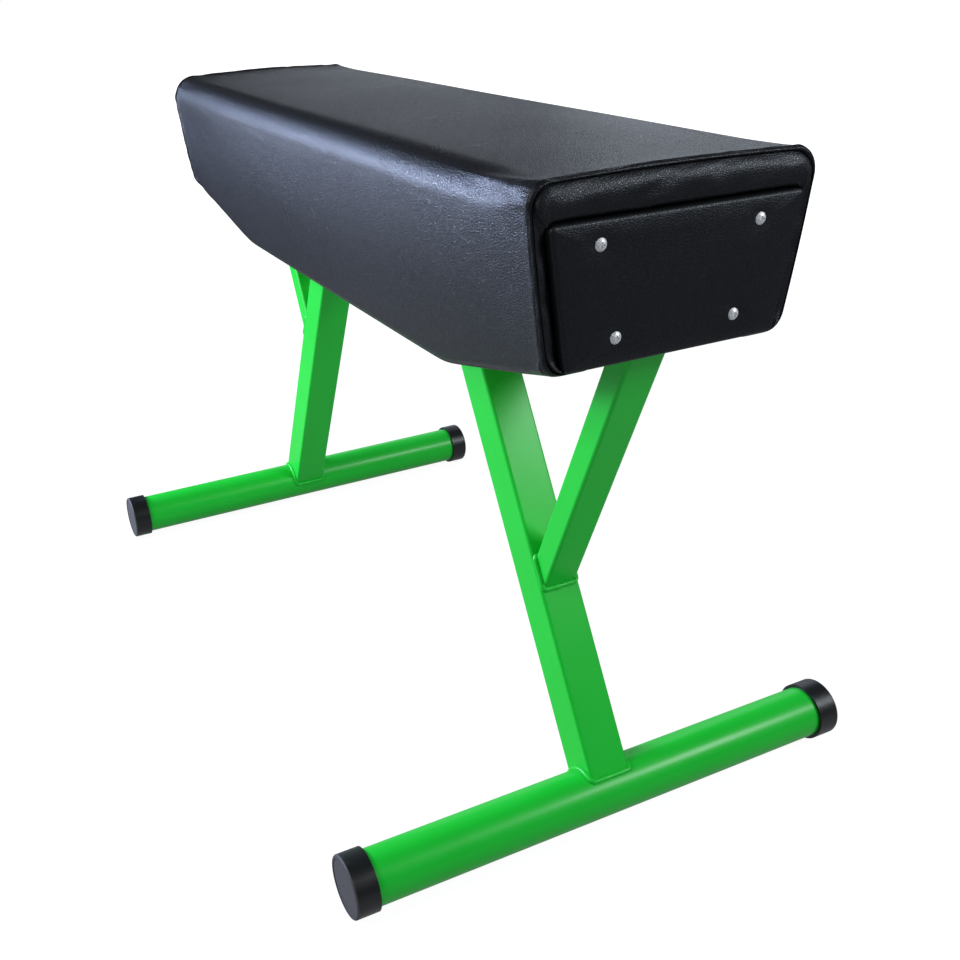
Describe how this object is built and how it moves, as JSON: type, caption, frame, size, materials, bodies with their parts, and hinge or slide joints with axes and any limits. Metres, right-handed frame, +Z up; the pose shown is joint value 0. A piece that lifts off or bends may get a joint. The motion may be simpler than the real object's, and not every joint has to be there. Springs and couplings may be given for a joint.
{
  "type": "padded gymnastics bench",
  "caption": "Long bench with a padded, boat-bottomed, leather-cloth body on Y-shaped steel legs, each welded to a round foot tube with push-on end caps.",
  "frame": {"origin": "on the floor under the middle of the body", "axes": "+X along the body towards its front end, +Y to the left of someone who looks along +X, +Z up"},
  "size_m": [1.052, 0.64, 0.737],
  "materials": {
    "green_powder_coat": "semi-gloss powder coat",
    "leather_cloth": "fine-grained coated cloth, satin",
    "cap_rubber": "matt moulded rubber",
    "screw_steel": "satin",
    "zinc": "bright zinc plate",
    "plywood": "sanded birch plywood",
    "foam": "open-cell bonded foam"
  },
  "bodies": {
    "root": {"foot_tube_front": "green_powder_coat", "foot_tube_rear": "green_powder_coat", "foot_cap_front_left": "cap_rubber", "foot_cap_front_right": "cap_rubber", "foot_cap_rear_left": "cap_rubber", "foot_cap_rear_right": "cap_rubber", "post_front": "green_powder_coat", "post_rear": "green_powder_coat", "branch_front": "green_powder_coat", "branch_rear": "green_powder_coat", "foot_weld_front": "green_powder_coat", "foot_weld_rear": "green_powder_coat", "branch_weld_front": "green_powder_coat", "branch_weld_rear": "green_powder_coat", "post_plate_front": "green_powder_coat", "post_plate_rear": "green_powder_coat", "branch_plate_front": "green_powder_coat", "branch_plate_rear": "green_powder_coat", "plate_weld_front": "green_powder_coat", "plate_weld_rear": "green_powder_coat", "plate_bolts_front": "zinc", "plate_bolts_rear": "zinc", "plate_washers_front": "zinc", "plate_washers_rear": "zinc", "tee_nuts_front": "zinc", "tee_nuts_rear": "zinc", "top_board": "plywood", "side_board_left": "plywood", "side_board_right": "plywood", "bottom_board": "plywood", "slope_board_front": "plywood", "slope_board_rear": "plywood", "box_end_front": "plywood", "box_end_rear": "plywood", "bulkhead_front": "plywood", "bulkhead_rear": "plywood", "top_foam": "foam", "side_foam_left": "foam", "side_foam_right": "foam", "cover": "leather_cloth", "end_panel_front": "leather_cloth", "end_panel_rear": "leather_cloth", "end_board_front": "plywood", "end_board_rear": "plywood", "end_pad_front": "leather_cloth", "end_pad_rear": "leather_cloth", "end_screws_front": "screw_steel", "end_screws_rear": "screw_steel"}
  },
  "joints": []
}
